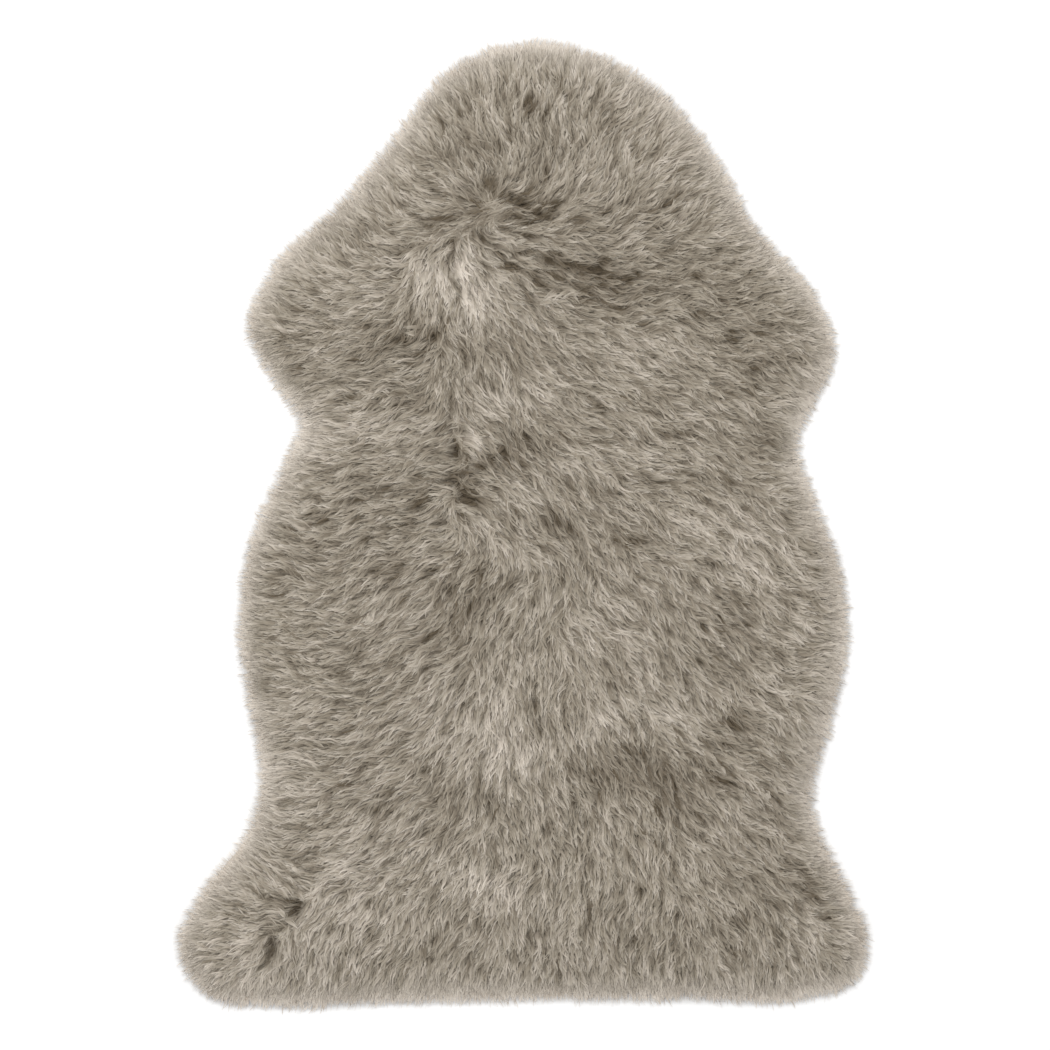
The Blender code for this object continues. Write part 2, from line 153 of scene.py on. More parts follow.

# Where the wool is paler (above zero) or darker (below zero) than elsewhere, as soft spots: partly its own
# paler and darker patches, partly painted light on the humps of RELIEF and painted shade in its hollows,
# crevices and partings
TONES = (
    # across, along, heading, length, width, tone, place
    ( -55,  230,  -80,  90, 72,  1.80, "whorl"),
    ( -83,  267,   60,  60, 35,  0.20, "whorl, upper left"),
    (-148,  236,    0, 118, 49,  0.60, "left of the whorl"),
    (-236,  220,    0,  70, 50, -0.20, "shoulder, left"),
    ( -54,  379,   80,  88, 55, -0.90, "crown, left of the middle"),
    (   7,  418,   90,  39, 26, -0.60, "crown, middle"),
    ( -55,  300,    6,  85, 36, -1.20, "neck, left of the middle"),
    (  47,  304,  -12, 118, 33, -0.80, "neck, above the cross flow"),
    (  -7,  332,   80,  18, 12,  1.50, "neck, small tuft"),
    (  22,  346,   80,  45, 29, -0.50, "neck, middle"),
    (  94,  357,   70,  88, 43,  0.40, "neck, right of the middle"),
    ( 165,  281,   45,  55, 34, -0.80, "neck, right"),
    (  74,  247,   -5,  98, 31, -1.00, "crevice of the cross flow"),
    ( 135,  214,  -25,  75, 32, -0.80, "cross flow, right end"),
    ( 225,  208,  -20, 108, 88, -0.80, "shoulder, right"),
    ( 221,  153,    0,  88, 49, -0.50, "shoulder, lower right"),
    ( 255,   82,    0,  98, 31, -1.30, "waist, far right"),
    ( 120,  159,    0,  69, 59,  0.50, "back, below the cross flow"),
    ( -69,  175,  -15, 118, 39, -1.00, "below the whorl"),
    (-152,  159,    0,  69, 29, -0.80, "armpit, left"),
    (-242,  159,  -40,  79, 39, -1.20, "shoulder edge, lower left"),
    (-119,  157,    0,  26, 24,  1.10, "waist tuft, left"),
    (-110,  130,  -40,  59, 29, -0.70, "above the back parting"),
    (-167,   92,    0, 118, 55,  0.60, "waist, left"),
    (   7,  124,   20,  94, 33,  1.00, "waist, middle"),
    ( -64,   71,  -86, 108, 26, -0.35, "back parting"),
    ( -48,   82,  -50,  34, 20,  1.40, "back parting, swirl"),
    ( -50,   33,  -60,  53, 33, -0.80, "back parting, foot"),
    (  -2,   71,   18,  94, 24, -1.50, "side parting"),
    ( 106,   63,    8,  94, 29,  0.90, "back, pale tuft"),
    (  -2,   32,    0,  39, 24,  0.60, "back, small pale tuft"),
    (  78,   22,    0,  59, 22, -0.50, "back, right shade"),
    ( 164,    2,    4,  88, 24,  0.80, "back, right streak"),
    (-142,   22,   10, 128, 59, -0.60, "back, left shade"),
    (-201,  -11,   70,  98, 59, -0.50, "flank, upper left shade"),
    (-124,  -46,    0,  43, 24, -0.70, "flank, left dark tuft"),
    ( -14,  -22,  -30,  63, 26,  0.80, "below the partings"),
    (  29,   -6,    0,  35, 24, -1.00, "back, dark tuft"),
    ( 108,  -21,   10,  65, 22, -0.80, "back, lower dark streak"),
    ( 233,  -27,   90,  69, 55,  1.50, "flank, upper right"),
    ( -61,  -84,   60,  79, 43, -1.00, "backbone shade"),
    ( 209,  -90,   90,  49, 33, -0.60, "flank, right dark tuft"),
    (  56, -119,   20,  53, 33,  0.90, "backbone, pale"),
    ( 176, -136,    0,  59, 39, -0.50, "flank, right shade"),
    (-158, -163,  -20,  59, 29, -0.40, "flank, lower left shade"),
    ( -26, -208,   90,  90, 41,  2.00, "loin, pale lock"),
    (   9, -228,   90,  59, 39,  1.10, "loin, beside the pale lock"),
    ( -81, -177,   80,  69, 45,  0.60, "loin, left pale"),
    (  82, -191,   42,  88, 27,  1.40, "loin, pale arc"),
    ( 143, -185,  -25,  59, 22,  0.80, "loin, pale arc, right"),
    ( 206, -198,   18,  65, 26, -1.00, "flank, lower right streak"),
    ( 253, -165,    0,  59, 29,  0.60, "flank edge, lower right"),
    ( 117, -244,  -14, 128, 51, -1.40, "loin hollow"),
    ( 196, -251,    0,  43, 39, -0.50, "loin hollow, right"),
    ( -69, -271,   80, 108, 33, -0.70, "loin, left shade"),
    (-228, -242,   90, 108, 79,  0.30, "loin, far left"),
    ( -35, -355,  -15,  75, 38,  1.90, "haunch, pale, left of the middle"),
    (-152, -334,   30,  80, 55,  1.20, "haunch, pale, left"),
    (-181, -393,   30, 108, 79,  0.90, "haunch, lower pale, left"),
    (-256, -400,  200,  30, 12,  1.60, "haunch arc, lower, pale"),
    (-246, -346,  155,  34, 10,  1.00, "haunch arc, upper, pale"),
    (-286, -421,   50,  62, 38,  1.30, "haunch corner, left"),
    (-285, -332,   40,  69, 26,  0.30, "haunch, upper left edge"),
    ( 265, -352,  -20,  88, 43, -1.00, "haunch, upper right"),
    ( 196, -332,  -40,  49, 27, -0.50, "haunch, right dark tuft"),
    ( 225, -381,  -55,  75, 22, -0.80, "haunch, right streak"),
    ( 174, -403,    0,  98, 59, -0.40, "haunch, lower right shade"),
    ( 273, -399,  -65,  59, 22,  0.40, "haunch, right pale streak"),
    (  40,  222,   30,  34, 14,  1.20, "light tuft"),
    (  51,  235,   -8, 110, 34, -1.20, "below the cross flow"),
    (  78,  207,  -10,  70, 30, -1.00, "right of the light tuft"),
    (-250, -443,    0,  75, 30,  1.20, "haunch, lowest left"),
    ( 105,  -95,  -40,  60, 42,  1.20, "flank, half right"),
    (-256, -119,   90, 110, 30, -0.90, "flank edge, left"),
    ( -98,  277,   20,  50, 30, -0.90, "whorl, far left"),
    ( -67, -223,   80,  55, 38,  1.20, "loin, half left"),
    ( -95, -308,   90,  49, 33,  0.80, "haunch, pale, upper left"),
    (-193,   11,    0,  39, 33,  0.60, "flank, upper left tuft"),
    (-140, -191,    0,  39, 33,  0.70, "flank, half left"),
    (-199,  196,    0,  39, 33,  0.60, "shoulder, lower left tuft"),
    ( 261,  136,  -50,  35, 26, -0.90, "waist, far right edge"),
    (  19,  157,    0,  35, 29, -0.80, "back, over the waist tuft"),
    (-100,  405,   60,  35, 26, -0.70, "crown, left edge"),
    ( -99,  109,    0,  29, 26, -0.70, "above the back parting, left"),
    (-203,  131,    0,  35, 29, -0.60, "waist, left edge"),
    ( -75,  -11,    0,  33, 27, -0.70, "below the back parting"),
    ( 134, -298,    0,  37, 29, -0.60, "haunch, upper right shade"),
)

# Hollows (below zero) and humps (above zero) of the wool's surface
RELIEF = (
    # across, along, heading, length, width, height, place
    (  64,  253,   -8,  95, 24, -6, "cross parting, right"),
    ( -70,  325,  172,  70, 22, -5, "cross parting, left"),
    ( -50,  240,  -75,  70, 55,  7, "whorl"),
    ( -62,  117,  -88, 110, 22, -7, "back parting, upper"),
    ( -63,   41,  -78,  70, 20, -6, "back parting, lower"),
    (  38,  223,   30,  36, 18,  5, "light tuft by the parting"),
    ( -10,  -25,  -50,  60, 30,  6, "tuft below the parting"),
    ( -30, -210,  -75,  60, 30,  5, "lock over the loin"),
    ( 105, -235,  -12, 110, 50, -7, "loin hollow, right"),
    (-246, -412,   93,  44, 14, -9, "haunch crevice"),
    (-219, -374,  100,  30, 14, -8, "haunch crevice, upper"),
    (-256, -352,  160,  50, 26,  6, "haunch arc, upper"),
    (-262, -404,  200,  44, 24,  6, "haunch arc, lower"),
    ( 232, -368,  -55,  60, 24, -8, "haunch crevice, right"),
)

# Gaps between locks, where the dark roots show: the wool lies lower there, fewer locks cover it, and painted
# shade darkens what shows
GAPS = (
    # zone, then across, along, heading, length, width, openness
    ("curl of the whorl",
     ( -68,  271,   90, 14, 4.9, 1.0), ( -70,  257,   74, 18, 5.4, 1.0), ( -62,  260,   13, 12, 3.9, 0.8),
     ( -65,  232,  120, 17, 5.4, 1.0), ( -64,  217,   50, 15, 4.9, 0.9)),
    ("left and right of the curl",
     ( -76,  245,  108, 14, 4.4, 0.7), ( -34,  240,  -55, 13, 5.9, 0.7)),
    ("top and right edge of the whorl",
     ( -48,  279,   75, 10, 4.4, 0.9), ( -40,  276,  100, 14, 4.9, 1.0), ( -34,  271,  -55, 10, 4.4, 0.9),
     ( -23,  263,  -50, 18, 4.4, 1.0), (  -7,  251,  -15, 12, 4.4, 0.9)),
    ("notch over the neck parting",
     ( -19,  323,  100, 10, 5.9, 0.8), ( -10,  323,   70, 10, 4.4, 0.8), (   9,  328,   40, 11, 4.4, 0.7)),
    ("neck parting",
     (   1,  310,  -35, 15, 5.4, 1.0), (  -2,  300,  -15, 14, 4.4, 0.9), (   2,  292,   -5, 14, 4.4, 1.0),
     ( -69,  295,    0,  9, 4.4, 0.7), (  16,  302,  -30, 12, 5.4, 0.9), (  29,  313,   -3, 20, 4.4, 0.9),
     (  26,  297,  -20, 11, 4.4, 0.9)),
    ("lines over the cross flow",
     (   5,  280,  -12, 24, 4.4, 1.0), (   0,  263,    5, 16, 3.9, 0.9)),
    ("cross flow",
     (  26,  256,  -25, 13, 5.9, 1.0), (  37,  262,  -30, 11, 3.9, 0.9), (  42,  252,    0, 11, 7.4, 1.0),
     (  57,  251,   -8, 15, 4.4, 1.0), (  77,  250,   60, 11, 6.4, 1.0), (  71,  247,  -10,  9, 4.4, 0.9),
     (  74,  242,   80,  9, 4.9, 0.8), ( 103,  237,   90,  9, 5.4, 0.9), ( 112,  244,  -30, 10, 4.4, 1.0),
     (  13,  244,    0,  8, 3.9, 0.9), (  18,  232,  -25, 11, 4.4, 0.8)),
    ("left armpit",
     (-123,  178,   20,  8, 5.9, 1.0), (-115,  178,   90,  8, 4.9, 1.0), ( -86,  181,  -20,  8, 5.4, 1.0),
     (-101,  164,    0, 12, 3.9, 0.9), ( -78,  165,   40,  9, 3.9, 0.9)),
    ("back parting, from the top down",
     ( -60,   91,    0, 12, 4.9, 0.9), ( -65,   73,  -80, 19, 5.4, 1.0), ( -69,   51,   45,  9, 4.4, 0.9),
     ( -63,   41,  100, 12, 4.4, 1.0), ( -58,   33,  -20,  9, 4.4, 1.0), ( -56,   27,   45,  9, 4.4, 0.9),
     ( -51,   22,  -30, 12, 6.4, 0.8)),
    ("side parting",
     ( -40,   56,    0, 11, 5.9, 1.0), ( -28,   65,   60, 10, 4.9, 0.8), ( -17,   70,  -60, 13, 5.9, 1.0),
     ( -26,   35,  -30,  9, 4.4, 0.9), ( -58,   48,   15, 11, 3.9, 0.8)),
    ("right of the partings",
     (   4,   55,  -30, 11, 4.4, 0.9), (   4,   85,  -30,  9, 4.4, 0.9)),
    ("haunch crevice",
     (-244, -410,   93, 29, 4.7, 1.0), (-251, -400,   30, 12, 3.4, 0.9), (-248, -425,   85, 20, 4.7, 0.8)),
    ("haunch, upper crevice",
     (-217, -368,  130, 10, 3.4, 1.0), (-219, -376,   95, 15, 4.4, 1.0), (-225, -378,   40, 10, 3.4, 0.8)),
    ("haunch arc",
     (-246, -365,  -15, 12, 4.9, 0.7), (-232, -367,  -20, 12, 4.9, 0.8), (-239, -359,  -25, 10, 4.4, 0.6)),
    ("haunch, between the crevices",
     (-214, -356,   -5, 11, 4.4, 0.6), (-235, -393,   20, 11, 5.4, 0.8), (-225, -398,   90, 11, 3.9, 0.7)),
)

# Locks that curl over the partings
LOOSE_LOCKS = (
    # zone, then root, middle, tip
    ("hooks over the haunch crevice",
     ((-257, -388), (-246, -395), (-241, -412)), ((-254, -381), (-242, -386), (-234, -399))),
    ("haunch arc",
     ((-261, -347), (-248, -352), (-235, -360)), ((-239, -346), (-228, -353), (-220, -365)),
     ((-242, -355), (-232, -359), (-224, -369)), ((-244, -373), (-234, -377), (-227, -388))),
    ("fan and tips by the upper haunch crevice",
     ((-232, -383), (-224, -387), (-215, -395)), ((-221, -355), (-216, -361), (-211, -370))),
    ("tuft left of the haunch crevice",
     ((-250, -407), (-256, -414), (-260, -426))),
    ("light tuft under the cross flow",
     ((  35,  229), (  27,  221), (  16,  214)), ((  55,  226), (  46,  223), (  35,  215)),
     ((  49,  228), (  39,  224), (  29,  216))),
    ("left armpit",
     ((-119,  185), (-116,  179), (-121,  173)), (( -96,  191), (-107,  191), (-117,  190)),
     (( -97,  187), (-107,  185), (-116,  186))),
    ("whorl",
     (( -68,  251), ( -61,  245), ( -55,  230)), (( -71,  257), ( -74,  244), ( -72,  228)),
     (( -29,  267), ( -23,  261), ( -15,  254))),
    ("neck parting",
     ((  -8,  305), ( -15,  302), ( -24,  296)), (( -10,  305), (  -1,  300), (  10,  297)),
     (( -38,  298), ( -22,  305), (  -2,  314)), (( -44,  306), ( -30,  311), ( -15,  318))),
    ("swirl by the back parting",
     (( -61,   85), ( -47,   83), ( -34,   72)), (( -63,   80), ( -50,   77), ( -38,   66)),
     (( -62,   74), ( -52,   71), ( -44,   62))),
    ("back and side partings",
     (( -75,   44), ( -64,   45), ( -59,   36)), (( -16,   79), ( -23,   71), ( -34,   63))),
)

# The wool's cross section, as in the pelt
PILE_HEIGHT = 0.047         # top of the wool over the floor, away from the rim
SHOULDER_WIDTH = 0.095      # from the outline in to where the wool has its full height
SHOULDER_POWERS = (1.8, 0.78)
RIM_LIFT = 0.002            # height of the lowest wool at the outline
CALM = (0.3, 0.030)         # share of the wool's unevenness left at the outline, and where it is whole

# Charts of the rug
CHART_LOW = (-0.380, -0.510)
CHART_HIGH = (0.380, 0.510)
CHART_STEP = 0.002
CURVE_STEPS = 12            # points of the outline for each of its places

# Lay
LAY_SOFTNESS = 2e-6         # keeps a row of LAY from counting without limit at its own place
SPREAD_OUT = 1.6            # how strongly the wool turns outwards at the outline
SPREAD_WIDTH = 0.030
CURLS = ((22.0, 0.034), (26.0, 0.014))      # turns of the lay here and there, in degrees, and their size
CURL_CALM = (0.15, 0.035)   # their share left at the outline, and where they are whole
CURL_MORE = 0.4             # how much more it turns where the rows of LAY disagree
TUFT_DRAW = 0.40            # how strongly the lay turns towards a tuft's middle line

# Tufts: where the wool falls together
TUFT_PITCH = 0.0100
TUFT_LENGTH = (0.013, 0.023)
TUFT_WIDTH = (0.006, 0.011)
TUFT_STRENGTH = (0.45, 1.0)
TUFT_STRAY = 12.0           # spread of their headings about the lay, in degrees
TUFT_DROP = 0.2             # share of a tuft's length over which its end drops off
JITTER = 0.45               # how far tufts and locks lie off an even pattern, in shares of its pitch

# Height of the wool's surface
SWELL_HEIGHT = 0.0020       # slow swells
SWELL_SIZE = 0.045
TUFT_HEIGHT = 0.0040
TUFT_LEVEL = 0.35           # share of a tuft's height that lies at the pile's own
GAP_DEPTH = 0.0050
BROAD_SIZE = 0.0070         # broad streaks along the lay
BROAD_HEIGHT = 0.0010
FINE_SIZE = 0.0032          # fine streaks along the lay
FINE_HEIGHT = 0.0007
STREAK_STEPS = 2            # steps of a streak either way
STREAK_STEP = 0.0024

# Tone of the wool, in steps above zero for paler and below zero for darker: its own tone with painted light
# and shade in it
BASE_TONE = 0.06
SPOT_TONE = 1.35            # for one of tone 1 in TONES
CLOUD_TONE = 0.15           # slow clouds
CLOUD_SIZE = 0.050
TUFT_PAINTED_SHADING = 0.90            # painted shade at a tuft's foot rising to painted light on its top
TUFT_MEAN = 0.4
# Streaks are paler where they stand higher: partly the wool's own streaky tone, partly painted light and
# shade
BROAD_TONE = 0.28
FINE_TONE = 0.86
GAP_PAINTED_SHADE = -5.5             # painted shade on the roots and the felted wool in a gap
RIM_PALE_TIPS_AND_LIGHT = ((1.5, 0.022), (7.6, 0.0085))   # pale rim, partly the fleece's own pale tips and partly painted light on its less lit sloping wall: tone at the outline, and how far in it fades to a third
TAIL = 0.15                 # how much longer the dark tail of the tones is than the pale one: painted shade in the thin lines between locks
TONE_MIDDLE = 0.42          # place of tone 0 on the colour chart, which is 1 wide
TONE_STEP = 0.12
CHART_ENDS = (0.03, 0.97)

# Lines of locks
LINE_STEPS = 12             # stretches of a lock's middle line
LINE_PULL = 0.8             # how strongly each stretch turns to the lay where it is
SWING = (12.0, 32.0)        # how far a line waves to either side of its heading, in degrees
SWING_TURNS = 7.0           # the waves' way from root to tip, in radians
WAVE_SIZE = 0.022           # locks this near wave together
WAVE_STRAY = 0.5
GAP_LIMITS = (0.55, 1.1)    # how open the wool may be on a lock's line, drawn between the two

# Fibres
FIBRE_WIDTH = (0.00080, 0.00150)
FIBRE_STARTS = (0.0, 0.20)  # shares of the lock's line where a fibre starts and ends
FIBRE_ENDS = (0.72, 1.0)
FIBRE_CLOSING = 0.5         # how much nearer to the line a fibre's tip is than its root
FIBRE_BEND = 0.0006         # how far it bends to either side
FIBRE_ROLL = 12.0           # how far its flat side is rolled, in degrees
FIBRE_LEVELS = 0.0010       # fibres of a lock lie this much over one another at their tips
FIBRE_FLOOR = 0.0006        # lowest fibre over the floor
ROOT_DEPTH = 0.0070         # how far under the wool's surface a fibre leaves the felted wool
UV_SPREAD = 0.006           # width of a fibre to either side on the colour chart
UV_ENDS = (0.02, 0.98)

# Layers: where the tips of locks lie and how their lines run, then the fibres on each line
LOCK_LINES = dict(pitch=0.0054, jitter=JITTER, margin=(0.004, 0.012), length=(0.019, 0.029), stray=7.0)
LOCK_FIBRES = dict(per_line=6, stations=6, spread=0.0012, depth=ROOT_DEPTH, tone_spread=0.56)
STRAND_LINES = dict(pitch=0.0064, jitter=0.5, margin=(0.005, 0.014), length=(0.022, 0.036), stray=10.0)
STRAND_FIBRES = dict(per_line=3, stations=9, spread=0.0008, depth=0.0030, tone_spread=0.60,
                     thickness=1.15, raised=0.0006)
LOOSE_FIBRES = dict(per_line=12, stations=9, spread=0.0015, depth=0.0030, tone_spread=0.30,
                    fibre_spread=0.45)
LOOSE_RAISED = 0.0010
LOOSE_PALER = 0.07          # on the colour chart
RIM_COUNT = 30000
RIM_TIPS = (-0.0085, -0.0005, 0.013)        # how far inside the outline they end: least, usual, most
RIM_LINES = dict(length=(0.026, 0.036), stray=10.0)
RIM_FIBRES = dict(per_line=1, stations=6, spread=0.0, depth=ROOT_DEPTH, tone_spread=0.4,
                  thickness=0.45, raised=0.0006)

# Fibres that are seen from below
BELOW_COUNT = 5000
BELOW_STATIONS = 6
BELOW_STRAY = 14.0
BELOW_LENGTH = (0.014, 0.026)
BELOW_WIDTH = (0.0010, 0.0018)
BELOW_LEVEL = (0.0004, 0.0011)
BELOW_TIPS = (0.001, 0.004, 0.030)          # how far inside the outline they end: least, usual, most
BELOW_TONE = (0.62, 0.112)  # mean and spread on the colour chart

# Felted wool
FELT_POINTS = 560           # round the rug
FELT_SHARES = (0.05, 0.055, 0.995)          # of the way to the backbone: lowest row, next row, last row
FELT_ROWS = 56
FELT_DEPTH = 0.0036         # how far under the wool's surface the felted wool lies
FELT_CALM = (0.2, 0.030)    # share of that left at the outline, and where it is whole
FELT_CURLS = (0.0010, 0.008)                # height and size of its curls
FELT_FLOOR = (0.0012, 0.0022)               # height of its underside, and its least height above

# Hide
HIDE_POINTS = 360
HIDE_THICKNESS = 0.0025
HIDE_INSET = 0.036          # from the wool's outline in to the edge of the hide
HIDE_WAVER = (0.0012, 0.02) # how far its cut edge wavers, and over which length
HIDE_SHARES = (0.75, 0.5, 0.25, 0.012, 0.0, 0.012, 0.25, 0.5, 0.75)     # of the way to the backbone
HIDE_LEVELS = (0.0, 0.0, 0.0, 0.0, 0.5, 1.0, 1.0, 1.0, 1.0)             # of its thickness
BACKBONE = ((0.012, 0.33), (0.012, -0.33))

# Colours, in the shader's own light values
# Darker towards a fibre's root: partly the wool's own paler tips, partly painted shade deep among the locks
ALONG_COLOURS = ((0.0, (0.185, 0.153, 0.116)), (0.35, (0.296, 0.253, 0.195)),
                 (0.75, (0.386, 0.338, 0.268)), (1.0, (0.426, 0.381, 0.311)))
TONE_COLOURS = ((0.0, (0.27, 0.23, 0.175)), (0.42, (0.925, 0.925, 0.925)), (1.0, (1.96, 2.02, 2.22)))
HIDE_COLOURS = ((0.30, (0.50, 0.44, 0.36)), (0.55, (0.60, 0.54, 0.45)), (0.75, (0.67, 0.61, 0.52)))

# The wool's pieces: its fibres whose tips lie between two places along the rug, in metres
WOOL_PIECES = (
    ("wool_neck",       0.260,  1.000),
    ("wool_shoulders",  0.110,  0.260),
    ("wool_waist",     -0.040,  0.110),
    ("wool_flanks",    -0.190, -0.040),
    ("wool_loin",      -0.340, -0.190),
    ("wool_haunches",  -1.000, -0.340),
)

# Stage
FLOOR_HALF = 6.0
FLOOR_COLOUR = (0.96, 0.96, 0.96, 1.0)
CAMERA_PLACE = (0.0025, -0.001, 4.0)
SENSOR_WIDTH = 36.0         # in millimetres
FRAME_WIDTH = 1.031         # what the camera sees across at the floor
ROOM_LIGHT = 0.76
LAMP_POWER = 44.0
LAMP_SIZE = (2.0, 1.6)
LAMP_PLACE = (-0.35, 0.75, 2.7)
LAMP_TURN = (-15.5, -7.5, 0.0)

SEED = 11


# ---- outline and charts ----


def closed_curve(places):
    """A smooth closed curve through the places: cubic Hermite stretches over the chord lengths, with each
    place's tangent taken from the two places beside it."""
    before = np.roll(places, 1, axis=0)
    after = np.roll(places, -1, axis=0)
    chord = np.linalg.norm(after - places, axis=1)[:, None]
    chord_before = np.roll(chord, 1, axis=0)
    tangent = (places - before) / chord_before * chord + (after - places) / chord * chord_before
    tangent = tangent / (chord + chord_before)
    s = np.linspace(0.0, 1.0, CURVE_STEPS, endpoint=False)[None, :, None]
    start, end = places[:, None, :], after[:, None, :]
    pull_start = (tangent * chord)[:, None, :]
    pull_end = (np.roll(tangent, -1, axis=0) * chord)[:, None, :]
    curve = ((2 * s**3 - 3 * s**2 + 1) * start + (s**3 - 2 * s**2 + s) * pull_start
             + (3 * s**2 - 2 * s**3) * end + (s**3 - s**2) * pull_end)
    return curve.reshape(-1, 2)


def spaced(curve, count):
    """The closed curve as a number of points an even distance apart along it."""
    closed = np.vstack([curve, curve[:1]])
    run = np.concatenate([[0.0], np.cumsum(np.linalg.norm(np.diff(closed, axis=0), axis=1))])
    stations = np.linspace(0.0, run[-1], count, endpoint=False)
    return np.column_stack([np.interp(stations, run, closed[:, axis]) for axis in (0, 1)])


def unit(vectors):
    """Vectors made of length one."""
    return vectors / np.maximum(np.linalg.norm(vectors, axis=-1, keepdims=True), 1e-9)


def outward_normals(loop):
    """Unit normals of a clockwise loop, pointing out of it and smoothed over the neighbours."""
    along = np.roll(loop, -2, axis=0) - np.roll(loop, 2, axis=0)
    return unit(np.column_stack([-along[:, 1], along[:, 0]]))


def turned(vectors, angle):
    """Plan vectors turned by an angle each, against the clock."""
    cos, sin = np.cos(angle), np.sin(angle)
    return np.stack([vectors[..., 0] * cos - vectors[..., 1] * sin,
                     vectors[..., 0] * sin + vectors[..., 1] * cos], axis=-1)


def between(values, places, eased=False):
    """A grid's values at places given in its own steps, across and along: the weighted mean of the four
    points around, the weights eased in and out where asked."""
    rows, columns = values.shape[:2]
    row = np.clip(places[..., 1], 0.0, rows - 1.001)
    column = np.clip(places[..., 0], 0.0, columns - 1.001)
    i, j = row.astype(int), column.astype(int)
    u, v = row - i, column - j
    if eased:
        u, v = u * u * (3 - 2 * u), v * v * (3 - 2 * v)
    if values.ndim == 3:
        u, v = u[..., None], v[..., None]
    low = values[i, j] * (1 - v) + values[i, j + 1] * v
    high = values[i + 1, j] * (1 - v) + values[i + 1, j + 1] * v
    return low * (1 - u) + high * u


class Chart:
    """Values on an even grid over the rug, which can be read anywhere."""

    def __init__(self, values):
        self.values = values

    def at(self, points):
        """The values at plan points in metres."""
        return between(self.values, (points - CHART_LOW) / CHART_STEP)


def chart_points():
    """The grid's points, as rows by columns by two."""
    x = np.arange(CHART_LOW[0], CHART_HIGH[0] + CHART_STEP / 2, CHART_STEP)
    y = np.arange(CHART_LOW[1], CHART_HIGH[1] + CHART_STEP / 2, CHART_STEP)
    return np.stack(np.meshgrid(x, y), axis=-1)


def inside_distance(points, loop):
    """Distance to the closed loop, above zero inside it and below zero outside: the least of the distances
    to its stretches, with a sign from how often a ray towards +X crosses it."""
    x, y = points[..., 0], points[..., 1]
    nearest = np.full(x.shape, 1e9)
    crossings = np.zeros(x.shape, int)
    for (ax, ay), (bx, by) in zip(loop, np.roll(loop, -1, axis=0)):
        dx, dy = bx - ax, by - ay
        share = np.clip(((x - ax) * dx + (y - ay) * dy) / (dx * dx + dy * dy), 0.0, 1.0)
        nearest = np.minimum(nearest, (x - ax - share * dx)**2 + (y - ay - share * dy)**2)
        if dy != 0.0:
            crossings += ((ay > y) != (by > y)) & (x < ax + (y - ay) / dy * dx)
    return np.sqrt(nearest) * np.where(crossings % 2 == 1, 1.0, -1.0)


def calmed(depth, least, width):
    """Share of the wool's unevenness at a depth inside the outline: all of it from the width on, and evenly
    less towards the rim, down to the least."""
    return np.clip(depth / width, least, 1.0)


def all_places(table):
    """The rows of a table that keeps them by zones, without the zones' names."""
    return [row for _, *rows in table for row in rows]


def spots(points, table):
    """Sum of the table's rows as bell-shaped spots, each long along its own heading."""
    total = np.zeros(points.shape[:-1])
    for across, along, heading, length, width, height, *_ in table:
        turn = math.radians(heading)
        offset = points - np.array([across, along]) / MM
        forward = offset @ np.array([math.cos(turn), math.sin(turn)])
        aside = offset @ np.array([-math.sin(turn), math.cos(turn)])
        total += height * np.exp(-(2 * forward / (length / MM))**2 - (2 * aside / (width / MM))**2)
    return total


def lay_values(points, outwards, depth):
    """Unit heading of the wool: the LAY rows weighted by the cube of their closeness, turned outwards near
    the rim.  And how well the rows agree at each point, from 0 to 1."""
    total = np.zeros(points.shape)
    weights = np.zeros(points.shape[:-1])
    for across, along, heading in all_places(LAY):
        gap = np.linalg.norm(points - np.array([across, along]) / MM, axis=-1)
        turn = math.radians(heading)
        weight = 1.0 / (gap**3 + LAY_SOFTNESS)
        weights += weight
        total += weight[..., None] * np.array([math.cos(turn), math.sin(turn)])
    agreed = np.linalg.norm(total, axis=-1) / weights
    pull = SPREAD_OUT * np.exp(-(np.maximum(depth, 0.0) / SPREAD_WIDTH)**2)
    return unit(unit(total) + pull[..., None] * outwards), agreed


def smooth_noise(points, size, rng, octaves=2):
    """Even noise from -1 to 1 with features of the given size: random values on a coarse grid, read between
    its points with an eased weight, in octaves of half the size and half the strength."""
    total = np.zeros(points.shape[:-1])
    strength, reach = 1.0, 0.0
    for _ in range(octaves):
        columns = int((CHART_HIGH[0] - CHART_LOW[0]) / size) + 3
        rows = int((CHART_HIGH[1] - CHART_LOW[1]) / size) + 3
        values = rng.uniform(-1.0, 1.0, (rows, columns))
        total += strength * between(values, (points - CHART_LOW) / size, eased=True)
        reach += strength
        strength *= 0.5
        size *= 0.5
    return total / reach


def darker_tail(values):
    """Noise of spread one with its values below zero drawn out and those above zero drawn in."""
    return values - TAIL * (values**2 - 1.0)


def streaks(points, lay, size, rng):
    """Noise drawn out along the lay: the mean of even noise over a few steps with the lay and as many
    against it, made of spread one and given a longer tail below zero."""
    speckle = Chart(smooth_noise(points, size, rng, octaves=1))
    total = speckle.at(points)
    ahead, behind = points, points
    for _ in range(STREAK_STEPS):
        ahead = ahead + lay.at(ahead) * STREAK_STEP
        behind = behind - lay.at(behind) * STREAK_STEP
        total = total + speckle.at(ahead) + speckle.at(behind)
    return darker_tail(total / total.std())


def scattered(pitch, jitter, rng):
    """Points of a triangular lattice over the rug, each moved at random by a share of the pitch."""
    rows = np.arange(CHART_LOW[1], CHART_HIGH[1], pitch * math.sin(math.radians(60.0)))
    columns = np.arange(CHART_LOW[0], CHART_HIGH[0], pitch)
    x, y = np.meshgrid(columns, rows)
    x = x + (np.arange(len(rows)) % 2)[:, None] * pitch / 2.0
    points = np.column_stack([x.ravel(), y.ravel()])
    return points + rng.uniform(-jitter, jitter, points.shape) * pitch


